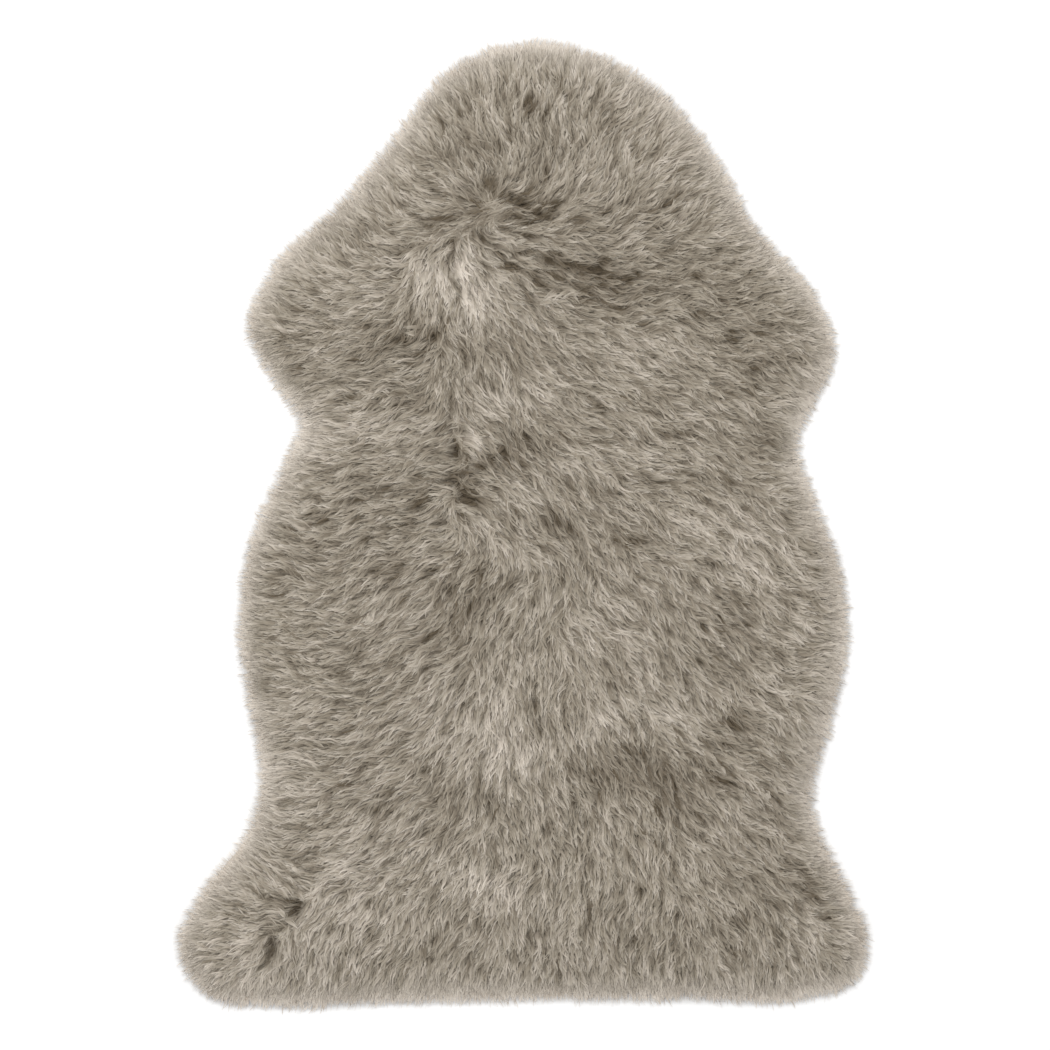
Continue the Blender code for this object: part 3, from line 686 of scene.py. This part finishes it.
def tuft_values(points, lay, rng):
    """The tufts' height, 0 to 1, and a plan vector that leads across the lay to a tuft's middle line.  A
    tuft climbs evenly along the lay and drops off over its last share, and falls off across with the square
    of the distance from its middle line; where tufts overlap the higher one counts."""
    centres = scattered(TUFT_PITCH, JITTER, rng)
    count = len(centres)
    ahead = turned(lay.at(centres), np.radians(rng.normal(0.0, TUFT_STRAY, count)))
    aside = np.stack([-ahead[:, 1], ahead[:, 0]], axis=-1)
    length = rng.uniform(*TUFT_LENGTH, count)[:, None]
    width = rng.uniform(*TUFT_WIDTH, count)[:, None]
    strength = rng.uniform(*TUFT_STRENGTH, count)[:, None]
    reach = int(TUFT_LENGTH[1] / 2 / CHART_STEP) + 1
    window = np.arange(-reach, reach + 1)
    rows, columns = points.shape[:2]
    nearest = np.round((centres - CHART_LOW) / CHART_STEP).astype(int)[:, None, None]
    row = np.clip(nearest[..., 1] + window[:, None], 0, rows - 1)
    column = np.clip(nearest[..., 0] + window[None, :], 0, columns - 1)
    cell = (row * columns + column).reshape(count, -1)
    offset = points.reshape(-1, 2)[cell] - centres[:, None]
    forward = np.einsum("ijk,ik->ij", offset, ahead) / length + 0.5
    across = np.einsum("ijk,ik->ij", offset, aside) / (width / 2)
    climb = np.clip(np.minimum(forward / (1.0 - TUFT_DROP), (1.0 - forward) / TUFT_DROP), 0.0, 1.0)
    height = strength * climb * np.clip(1.0 - across**2, 0.0, 1.0)
    draw = -(np.clip(across, -1.0, 1.0) * height)[..., None] * aside[:, None]
    order = np.argsort(height.ravel(), kind="stable")
    heights = np.zeros(rows * columns)
    draws = np.zeros((rows * columns, 2))
    heights[cell.ravel()[order]] = height.ravel()[order]
    draws[cell.ravel()[order]] = draw.reshape(-1, 2)[order]
    return heights.reshape(rows, columns), draws.reshape(rows, columns, 2)


def softened(values, rounds):
    """The chart's values, each made the mean of itself and the four points around it, so many times over."""
    for _ in range(rounds):
        around = sum(np.roll(values, shift, axis=axis) for axis in (0, 1) for shift in (-1, 1))
        values = (values + around) / 5.0
    return values


def height_values(rng):
    """Height of the wool's surface over the floor.  It climbs from the outline with a rounded shoulder: one
    less a power of the share of the way still to go, and that to another power.  So do the hollows and
    humps of RELIEF, slow swells, the tufts and streaks, calmer near the rim, and the gaps, which lie
    lower."""
    share = np.clip(depth_values / SHOULDER_WIDTH, 0.0, 1.0)
    rounding = (1.0 - (1.0 - share)**SHOULDER_POWERS[0])**SHOULDER_POWERS[1]
    pile = PILE_HEIGHT - RIM_LIFT + spots(grid, RELIEF) / MM
    pile = pile + SWELL_HEIGHT * smooth_noise(grid, SWELL_SIZE, rng)
    uneven = TUFT_HEIGHT * (softened(tufts, 2) - TUFT_LEVEL) + BROAD_HEIGHT * broad + FINE_HEIGHT * fine
    return RIM_LIFT + rounding * (pile + calm * uneven - GAP_DEPTH * gap_values)


def tone_values(rng):
    """Tone of the wool, its own with painted light and shade in it: the spots of TONES, partly painted light
    on humps and painted shade in hollows; slow clouds; tufts and streaks, calmer near the rim, painted paler
    where they rise and darker at their feet; painted shade in the dark gaps; and a pale rim, partly pale
    tips and partly painted light, that fades inwards as the sum of two exponentials."""
    from_rim = np.maximum(depth_values, 0.0)
    clouds = smooth_noise(grid, CLOUD_SIZE, rng, octaves=3)
    # paler where tufts and streaks rise and darker where they fall: painted light and shade, with the wool's
    # own streaky tone
    uneven = TUFT_PAINTED_SHADING * (tufts - TUFT_MEAN) + BROAD_TONE * broad + FINE_TONE * fine
    # the pale rim: partly the pale tips of the fleece, partly painted light
    pale_tips_and_rim_light = sum(tone * np.exp(-from_rim / width) for tone, width in RIM_PALE_TIPS_AND_LIGHT)
    return (BASE_TONE + SPOT_TONE * spots(grid, TONES) + CLOUD_TONE * clouds + calm * uneven
            + GAP_PAINTED_SHADE * gap_values + pale_tips_and_rim_light)


rng = np.random.default_rng(SEED)
outline = closed_curve(np.array([row[:2] for row in OUTLINE]) / MM)
grid = chart_points()
depth_values = inside_distance(grid, outline)
slope_y, slope_x = np.gradient(depth_values, CHART_STEP)
outward_values = -unit(np.stack([slope_x, slope_y], axis=-1))
DEPTH = Chart(depth_values)
OUTWARD = Chart(outward_values)
calm = calmed(depth_values, *CALM)
lay, agreed = lay_values(grid, outward_values, depth_values)
tufts, draws = tuft_values(grid, Chart(lay), rng)
curl = sum(degrees * smooth_noise(grid, size, rng) for degrees, size in CURLS)
curl = curl * calmed(depth_values, *CURL_CALM) * (1.0 + CURL_MORE * (1.0 - agreed))
LAY_AT = Chart(turned(unit(lay + TUFT_DRAW * draws), np.radians(curl)))
AGREED = Chart(agreed)
gap_values = np.clip(spots(grid, all_places(GAPS)), 0.0, 1.0)
GAP = Chart(gap_values)
broad = streaks(grid, LAY_AT, BROAD_SIZE, rng)
fine = streaks(grid, LAY_AT, FINE_SIZE, rng)
HEIGHT = Chart(height_values(rng))
TONE = Chart(tone_values(rng))
WAVE = Chart(math.pi * smooth_noise(grid, WAVE_SIZE, rng, octaves=1))


# ---- wool ----


def chart_place(tone):
    """Place of a tone on the colour chart, from 0 for the darkest to 1 for the palest."""
    return np.clip(TONE_MIDDLE + TONE_STEP * tone, *CHART_ENDS)


def lay_lines(tips, length, stray, rng):
    """Middle lines, in plan and from root to tip, of the locks that end at the tips: from each tip equal
    steps lead back against a heading that follows the lay by and by, and less where the rows of LAY
    disagree, so that locks reach over a parting.  They are turned by the lock's own stray angle and by a
    slow wave that neighbours share."""
    count = len(tips)
    step = rng.uniform(*length, count) / LINE_STEPS
    veer = np.radians(rng.normal(0.0, stray, count))
    wave = rng.normal(0.0, WAVE_STRAY, count) + WAVE.at(tips)
    swing = np.radians(rng.uniform(*SWING, count)) * calmed(DEPTH.at(tips), *CALM)
    points = [tips]
    heading = LAY_AT.at(tips)
    for k in range(LINE_STEPS):
        pull = LINE_PULL * AGREED.at(points[-1])[:, None]
        heading = unit(heading + pull * LAY_AT.at(points[-1]))
        way = turned(heading, veer + swing * np.sin(wave + SWING_TURNS * k / LINE_STEPS))
        points.append(points[-1] - way * step[:, None])
    return np.stack(points[::-1], axis=1)


def lock_lines(pitch, jitter, margin, length, stray, rng):
    """Middle lines of locks all over the rug.  Their tips keep a margin from the outline, drawn between two
    values.  The more open the wool is at a line's worst place, the likelier it is left out."""
    tips = scattered(pitch, jitter, rng)
    tips = tips[DEPTH.at(tips) > rng.uniform(*margin, len(tips))]
    lines = lay_lines(tips, length, stray, rng)
    return lines[GAP.at(lines).max(axis=1) < rng.uniform(*GAP_LIMITS, len(lines))]


def loose_lines():
    """Middle lines, from root to tip, of the locks that curl over the partings: the quadratic curve through
    each one's three places."""
    places = np.array(all_places(LOOSE_LOCKS)) / MM
    root, middle, tip = places[:, None, 0], places[:, None, 1], places[:, None, 2]
    t = np.linspace(0.0, 1.0, LINE_STEPS + 1)[None, :, None]
    bend = 2.0 * middle - 0.5 * (root + tip)
    return (1 - t)**2 * root + 2 * t * (1 - t) * bend + t**2 * tip


def fibres(lines, rng, per_line, stations, spread, depth, tone_spread, fibre_spread=0.10, thickness=1.0,
           raised=0.0):
    """Fibres along the middle lines of locks.  A fibre keeps to the side of its lock's line by an offset
    that closes towards the tip, and climbs from the felted wool: its depth under the wool's surface falls
    with a power of the way it has gone.  Its tone is half that of the wool where its tip lies and half that
    of the wool where each point lies, with its lock's own tone and its own on top.  Returns what strips()
    takes: middle lines, sideways directions, widths and places on the colour chart."""
    count = len(lines) * per_line
    mine = np.repeat(np.arange(len(lines)), per_line)
    way = np.linspace(0.0, 1.0, stations)[None, :]
    start = rng.uniform(*FIBRE_STARTS, (count, 1))
    end = rng.uniform(*FIBRE_ENDS, (count, 1))
    place = (start * (1 - way) + end * way) * LINE_STEPS
    k = np.clip(place.astype(int), 0, LINE_STEPS - 1)
    t = (place - k)[..., None]
    path = lines[mine]
    row = np.arange(count)[:, None]
    plan = path[row, k] * (1 - t) + path[row, k + 1] * t
    ahead = unit(path[row, k + 1] - path[row, k] + 1e-6 * LAY_AT.at(plan))
    left = np.stack([-ahead[..., 1], ahead[..., 0]], axis=-1)
    closing = 1.0 - FIBRE_CLOSING * way**1.3
    bend = rng.normal(0.0, FIBRE_BEND, (count, 1)) * np.sin(math.tau * (way * 0.9 + rng.random((count, 1))))
    plan = plan + left * (rng.normal(0.0, spread, (count, 1)) * closing + bend)[..., None]
    level = rng.uniform(0.0, 1.0, (count, 1))
    under = depth * (1 - way)**1.6 * (0.7 + 0.5 * level) + FIBRE_LEVELS * level * (0.3 + 0.7 * way)
    under = under * calmed(DEPTH.at(plan), *CALM)
    z = np.maximum(HEIGHT.at(plan) - under, FIBRE_FLOOR + 0.002 * level * (1 - way))
    z[:, 1:-1] = (z[:, :-2] + 2.0 * z[:, 1:-1] + z[:, 2:]) / 4.0
    middle = np.concatenate([plan, z[..., None] + raised], axis=-1)
    roll = np.radians(rng.normal(0.0, FIBRE_ROLL, (count, 1)))
    rise = np.broadcast_to(np.sin(roll), (count, stations))
    side = np.concatenate([left * np.cos(roll)[..., None], rise[..., None]], axis=-1)
    taper = np.minimum(np.minimum(0.6 + 3.0 * way, 1.0), (1.0 - way) * 2.2)
    width = rng.uniform(*FIBRE_WIDTH, (count, 1)) * taper * thickness
    own = tone_spread * darker_tail(rng.normal(0.0, 1.0, len(lines)))[mine]
    own += rng.normal(0.0, fibre_spread, count)
    here = TONE.at(plan)
    return middle, side, width, chart_place(0.5 * here + 0.5 * here[:, -2:-1] + own[:, None])


def wool_layers(rng):
    """Locks of a few fibres each, longer strands that lie over them, locks that curl over the partings and
    don't sag between root and tip, and finer fibres round the rim."""
    locks = fibres(lock_lines(**LOCK_LINES, rng=rng), rng, **LOCK_FIBRES)
    strands = fibres(lock_lines(**STRAND_LINES, rng=rng), rng, **STRAND_FIBRES)
    middle, side, width, place = fibres(loose_lines(), rng, **LOOSE_FIBRES)
    way = np.linspace(0.0, 1.0, width.shape[1])
    z = middle[..., 2]
    middle[..., 2] = np.maximum(z, z[:, :1] * (1 - way) + z[:, -1:] * way) + LOOSE_RAISED
    loose = middle, side, width, np.clip(place + LOOSE_PALER, *CHART_ENDS)
    around = spaced(outline, RIM_COUNT)
    tips = around - OUTWARD.at(around) * rng.triangular(*RIM_TIPS, RIM_COUNT)[:, None]
    rim = fibres(lay_lines(tips, **RIM_LINES, rng=rng), rng, **RIM_FIBRES)
    return locks, strands, loose, rim


def below_fibres(rng):
    """Fibres on the floor beyond the hide's edge, seen from below: straight out from the hide."""
    loop = spaced(outline, BELOW_COUNT)
    each = (BELOW_COUNT, 1, 1)
    normals = outward_normals(loop)
    out = turned(normals, np.radians(rng.normal(0.0, BELOW_STRAY, BELOW_COUNT)))
    way = np.linspace(0.0, 1.0, BELOW_STATIONS)
    stations = way[None, :, None]
    tip = loop[:, None] - normals[:, None] * rng.triangular(*BELOW_TIPS, each)
    plan = tip - out[:, None] * (1 - stations) * rng.uniform(*BELOW_LENGTH, each)
    z = rng.uniform(*BELOW_LEVEL, each) + 0.0 * stations
    middle = np.concatenate([plan, z], axis=-1)
    aside = np.stack([out[:, 1], -out[:, 0], np.zeros(BELOW_COUNT)], axis=-1)
    side = np.broadcast_to(aside[:, None], middle.shape)
    width = rng.uniform(*BELOW_WIDTH, each[:2]) * np.minimum(1.0, (1.0 - way) * 2.2)
    place = np.clip(rng.normal(*BELOW_TONE, each[:2]), *CHART_ENDS) + 0.0 * way
    return middle, side, width, place


def strips(middle, side, width, place, facing=1.0):
    """Fibres as narrow strips of triangles that taper to a point: along its middle line a fibre's points
    lie by turns to the left and to the right, half the width off.  middle and side are (fibres, points, 3),
    width and place (fibres, points).  Every triangle faces up, or down for a facing of -1.  Returns points,
    triangles and places on the colour chart."""
    count, stations = width.shape
    turns = np.where(np.arange(stations) % 2 == 0, 1.0, -1.0)
    points = middle + side * (width * turns / 2.0)[..., None]
    k = np.arange(stations - 2)
    odd = k % 2
    corners = np.column_stack([k, k + 1 + odd, k + 2 - odd])
    triangles = (np.arange(count)[:, None, None] * stations + corners[None]).reshape(-1, 3)
    plan = points.reshape(-1, 3)[triangles, :2]
    one, two = plan[:, 1] - plan[:, 0], plan[:, 2] - plan[:, 0]
    wrong = (one[:, 0] * two[:, 1] - one[:, 1] * two[:, 0]) * facing < 0
    triangles[wrong] = triangles[wrong][:, ::-1]
    u = place + UV_SPREAD * turns * (width > 0)
    v = np.broadcast_to(np.linspace(*UV_ENDS, stations), (count, stations))
    return points.reshape(-1, 3), triangles, np.stack([u, v], axis=-1).reshape(-1, 2)


def triangle_piece(name, points, triangles, material, uvs=None):
    """A piece from arrays of points and triangles, with each point's place on the colour chart if given."""
    mesh = bpy.data.meshes.new(name)
    mesh.vertices.add(len(points))
    mesh.vertices.foreach_set("co", points.astype(np.float32).ravel())
    mesh.loops.add(triangles.size)
    mesh.loops.foreach_set("vertex_index", triangles.astype(np.int32).ravel())
    mesh.polygons.add(len(triangles))
    mesh.polygons.foreach_set("loop_start", np.arange(len(triangles), dtype=np.int32) * 3)
    mesh.update(calc_edges=True)
    if uvs is not None:
        layer = mesh.uv_layers.new(name="OFBake")
        layer.data.foreach_set("uv", uvs[triangles.ravel()].astype(np.float32).ravel())
    mesh.shade_smooth()
    mesh.materials.append(material)
    piece = bpy.data.objects.new(name, mesh)
    bpy.context.scene.collection.objects.link(piece)
    return piece


def wool_piece(name, layers, low, high, material):
    """One piece of the wool: the fibres of every layer whose tips lie between two places along the rug."""
    points, triangles, uvs = [], [], []
    start = 0
    for layer in layers:
        tips = layer[0][:, -1, 1]
        here = (tips >= low) & (tips < high)
        layer_points, layer_triangles, layer_uvs = strips(*(values[here] for values in layer))
        points.append(layer_points)
        triangles.append(layer_triangles + start)
        uvs.append(layer_uvs)
        start += len(layer_points)
    return triangle_piece(name, np.concatenate(points), np.concatenate(triangles), material,
                          np.concatenate(uvs))


# ---- hide and felted wool ----


def plan_rings(loop, shares):
    """Rows of plan points at the given shares of the way in from a loop that starts at the neck to the
    backbone, whose points are each joined to one on either side."""
    half = len(loop) // 2
    way = np.concatenate([np.linspace(0, 1, half + 1), np.linspace(1, 0, half + 1)[1:-1]])[:, None]
    neck, tail = np.array(BACKBONE)
    spine = neck * (1 - way) + tail * way
    shares = np.array(shares)[:, None, None]
    return loop[None] * (1 - shares) + spine[None] * shares


def closed_skin(rings):
    """Triangles of a closed skin over rows of points, the first row closed off below across the backbone and
    the last row above.  Rows are (rows, points, 3) and run clockwise seen from above."""
    rows, count = rings.shape[:2]
    k = np.arange(rows - 1)[:, None] * count
    i = np.arange(count)[None, :]
    j = (i + 1) % count
    a, b, c, d = k + i, k + j, k + count + j, k + count + i
    wall = np.concatenate([np.stack([a, d, c], -1).reshape(-1, 3), np.stack([a, c, b], -1).reshape(-1, 3)])
    near = np.arange(count // 2)
    far = (count - near) % count
    near_next, far_next = near + 1, count - near - 1
    lid = np.concatenate([np.stack([near, far, far_next], -1), np.stack([near, far_next, near_next], -1)])
    lid = lid[(lid[:, 0] != lid[:, 1]) & (lid[:, 1] != lid[:, 2]) & (lid[:, 0] != lid[:, 2])]
    return np.concatenate([wall, lid[:, ::-1], lid + (rows - 1) * count])


def felted_wool(rng):
    """The dense wool next to the skin: rows from just inside the outline in to the backbone, a set depth
    under the wool's surface, with a flat underside on the hide.  Returns its points and triangles, and each
    point's place on the colour chart."""
    lowest, following, last = FELT_SHARES
    shares = np.concatenate([[lowest], np.linspace(following, last, FELT_ROWS)**0.9])
    plan = plan_rings(spaced(outline, FELT_POINTS), shares)
    height, size = FELT_CURLS
    cover = FELT_DEPTH * calmed(DEPTH.at(plan), *FELT_CALM)
    underside, least = FELT_FLOOR
    z = np.maximum(HEIGHT.at(plan) - cover + height * smooth_noise(plan, size, rng), least)
    z[0] = underside
    rings = np.concatenate([plan, z[..., None]], axis=-1)
    return rings.reshape(-1, 3), closed_skin(rings), chart_place(TONE.at(plan)).ravel()


def hide_skin(rng):
    """The hide: a sheet of even thickness with rounded edges, its outline the wool's moved in, laid flat.
    Returns its points and triangles, its flat area and its flat size."""
    loop = spaced(outline, HIDE_POINTS)
    edge = loop - outward_normals(loop) * HIDE_INSET
    waver, size = HIDE_WAVER
    edge = edge + outward_normals(loop) * (waver * smooth_noise(edge, size, rng))[:, None]
    plan = plan_rings(edge, HIDE_SHARES)
    levels = np.array(HIDE_LEVELS)[:, None, None] * HIDE_THICKNESS
    rings = np.concatenate([plan, np.broadcast_to(levels, plan.shape[:2] + (1,))], axis=-1)
    x, y = edge[:, 0], edge[:, 1]
    area = 0.5 * abs(np.sum(x * np.roll(y, -1) - np.roll(x, -1) * y))
    return rings.reshape(-1, 3), closed_skin(rings), area, np.ptp(edge, axis=0)


# ---- finishes ----


def new_node(nodes, kind, values=None):
    """A new shader node of a kind, with constants on those of its sockets that have a value."""
    node = nodes.new("ShaderNode" + kind)
    for socket, value in (values or {}).items():
        node.inputs[socket].default_value = value
    return node


def colour_ramp(nodes, links, place, stops):
    """The colour at a place from 0 to 1 on a ramp of stops, each a place and a colour."""
    ramp = new_node(nodes, "ValToRGB")
    elements = ramp.color_ramp.elements
    while len(elements) > 1:
        elements.remove(elements[-1])
    elements[0].position = stops[0][0]
    elements[0].color = (*stops[0][1], 1.0)
    for stop, colour in stops[1:]:
        element = elements.new(stop)
        element.color = (*colour, 1.0)
    links.new(place, ramp.inputs["Fac"])
    return ramp.outputs["Color"]


def wool_colour_group():
    """Colour of the wool from how far along a fibre a place is, 0 at its root and 1 at its tip, and from the
    tone of the fibre, 0 the darkest and 1 the palest: the one's colour times the other's."""
    group = bpy.data.node_groups.new("wool_colour", "ShaderNodeTree")
    group.interface.new_socket("Along", in_out="INPUT", socket_type="NodeSocketFloat")
    group.interface.new_socket("Tone", in_out="INPUT", socket_type="NodeSocketFloat")
    group.interface.new_socket("Colour", in_out="OUTPUT", socket_type="NodeSocketColor")
    nodes, links = group.nodes, group.links
    given = nodes.new("NodeGroupInput")
    result = nodes.new("NodeGroupOutput")
    mix = nodes.new("ShaderNodeMix")
    mix.data_type = "RGBA"
    mix.blend_type = "MULTIPLY"
    mix.inputs["Factor"].default_value = 1.0
    links.new(colour_ramp(nodes, links, given.outputs["Along"], ALONG_COLOURS), mix.inputs["A"])
    links.new(colour_ramp(nodes, links, given.outputs["Tone"], TONE_COLOURS), mix.inputs["B"])
    links.new(mix.outputs["Result"], result.inputs["Colour"])
    return group


def plain_material(name, roughness, sheen):
    """A material with constants for its roughness and sheen, and its nodes, links and shader."""
    material = bpy.data.materials.new(name)
    material.use_nodes = True
    shader = material.node_tree.nodes["Principled BSDF"]
    shader.inputs["Roughness"].default_value = roughness
    shader.inputs["Specular IOR Level"].default_value = 0.25
    shader.inputs["Sheen Weight"].default_value = sheen
    shader.inputs["Sheen Roughness"].default_value = 0.5
    return material, material.node_tree.nodes, material.node_tree.links, shader


def wool_coloured(nodes, links, shader, wool_colour, along, tone):
    """Colours the shader by the wool's colour group, from two sockets."""
    wool = new_node(nodes, "Group")
    wool.node_tree = wool_colour
    links.new(along, wool.inputs["Along"])
    links.new(tone, wool.inputs["Tone"])
    links.new(wool.outputs["Colour"], shader.inputs["Base Color"])


def fibre_material(wool_colour):
    """Wool fibres: coloured by their own place on the colour chart, tone across and root to tip along."""
    material, nodes, links, shader = plain_material("wool_fibre", roughness=0.80, sheen=0.12)
    chart = new_node(nodes, "UVMap")
    chart.uv_map = "OFBake"
    parts = new_node(nodes, "SeparateXYZ")
    links.new(chart.outputs["UV"], parts.inputs[0])
    wool_coloured(nodes, links, shader, wool_colour, parts.outputs["Y"], parts.outputs["X"])
    return material


def noise_texture(nodes, links, scale, detail, distortion):
    """Noise of 0 to 1 over the piece in metres, with so many features to the metre."""
    place = new_node(nodes, "TexCoord")
    noise = new_node(nodes, "TexNoise", {"Scale": scale, "Detail": detail, "Distortion": distortion})
    links.new(place.outputs["Object"], noise.inputs["Vector"])
    return noise.outputs["Fac"]


def stretched(nodes, links, value, low, high):
    """The value, of about 0.3 to 0.7, drawn out to the range from low to high."""
    spread = new_node(nodes, "MapRange", {"From Min": 0.3, "From Max": 0.7, "To Min": low, "To Max": high})
    links.new(value, spread.inputs["Value"])
    return spread.outputs["Result"]


def bumped(nodes, links, shader, height, distance, strength):
    """A bump of the given depth on the shader from a height of 0 to 1."""
    bump = new_node(nodes, "Bump", {"Distance": distance, "Strength": strength})
    links.new(height, bump.inputs["Height"])
    links.new(bump.outputs["Normal"], shader.inputs["Normal"])


def felt_material(wool_colour):
    """The felted wool: the colours of the fibres' lower halves, matted in fine curls, in the tone of the
    wool over it, painted light and shade included, so that it is painted dark in the gaps."""
    material, nodes, links, shader = plain_material("felted_wool", roughness=0.95, sheen=0.1)
    curls = noise_texture(nodes, links, scale=420.0, detail=3.0, distortion=1.2)
    tone = new_node(nodes, "Attribute")
    tone.attribute_name = "wool_tone_and_painted_light"
    along = stretched(nodes, links, curls, low=0.30, high=0.85)
    wool_coloured(nodes, links, shader, wool_colour, along, tone.outputs["Fac"])
    bumped(nodes, links, shader, curls, distance=0.0015, strength=0.8)
    return material


def hide_material():
    """The flesh side of the hide: buffed suede, a little blotched, with a short nap."""
    material, nodes, links, shader = plain_material("suede_hide", roughness=0.9, sheen=0.25)
    blotches = noise_texture(nodes, links, scale=14.0, detail=5.0, distortion=0.6)
    nap = noise_texture(nodes, links, scale=900.0, detail=4.0, distortion=0.3)
    links.new(colour_ramp(nodes, links, blotches, HIDE_COLOURS), shader.inputs["Base Color"])
    links.new(stretched(nodes, links, blotches, low=0.82, high=0.95), shader.inputs["Roughness"])
    bumped(nodes, links, shader, nap, distance=0.0004, strength=0.5)
    return material


# ---- stage ----


def make_floor():
    """A plain pale floor."""
    corners = np.array([[-1, -1, 0], [1, -1, 0], [1, 1, 0], [-1, 1, 0]]) * FLOOR_HALF
    material, _, _, shader = plain_material("pale_floor", roughness=0.9, sheen=0.0)
    shader.inputs["Base Color"].default_value = FLOOR_COLOUR
    triangle_piece("floor", corners, np.array([[0, 1, 2], [0, 2, 3]]), material)


def make_light():
    """A white room and one wide soft lamp overhead, towards the neck and a little to the left."""
    world = bpy.data.worlds.new("white_room")
    world.use_nodes = True
    background = world.node_tree.nodes["Background"]
    background.inputs["Color"].default_value = (1.0, 1.0, 1.0, 1.0)
    background.inputs["Strength"].default_value = ROOM_LIGHT
    bpy.context.scene.world = world
    lamp = bpy.data.lights.new("softbox", "AREA")
    lamp.shape = "RECTANGLE"
    lamp.size, lamp.size_y = LAMP_SIZE
    lamp.energy = LAMP_POWER
    softbox = bpy.data.objects.new("softbox", lamp)
    softbox.location = LAMP_PLACE
    softbox.rotation_euler = [math.radians(angle) for angle in LAMP_TURN]
    bpy.context.scene.collection.objects.link(softbox)


def make_camera():
    """A camera straight above, the neck at the top of the picture."""
    data = bpy.data.cameras.new("overhead")
    data.sensor_width = SENSOR_WIDTH
    data.lens = SENSOR_WIDTH * CAMERA_PLACE[2] / FRAME_WIDTH
    camera = bpy.data.objects.new("overhead", data)
    camera.location = CAMERA_PLACE
    bpy.context.scene.collection.objects.link(camera)
    bpy.context.scene.camera = camera


# ---- the rug ----


wool_colour = wool_colour_group()
fibre_look = fibre_material(wool_colour)
layers = wool_layers(rng)
wool = [wool_piece(name, layers, low, high, fibre_look) for name, low, high in WOOL_PIECES]
points, triangles, uvs = strips(*below_fibres(rng), facing=-1.0)
wool.append(triangle_piece("wool_underside", points, triangles, fibre_look, uvs))
points, triangles, tones = felted_wool(rng)
felt = triangle_piece("felted_wool", points, triangles, felt_material(wool_colour))
# the felted wool's tone, with the painted light and shade that the wool's tone holds
felt.data.attributes.new("wool_tone_and_painted_light", "FLOAT", "POINT").data.foreach_set("value", tones.astype(np.float32))
wool.append(felt)
points, triangles, hide_area, hide_size = hide_skin(rng)
hide = triangle_piece("hide", points, triangles, hide_material())
for piece in wool + [hide]:
    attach(piece, "root")
    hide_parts(PELT)
make_floor()
make_light()
make_camera()
bpy.context.scene.view_settings.view_transform = "Standard"
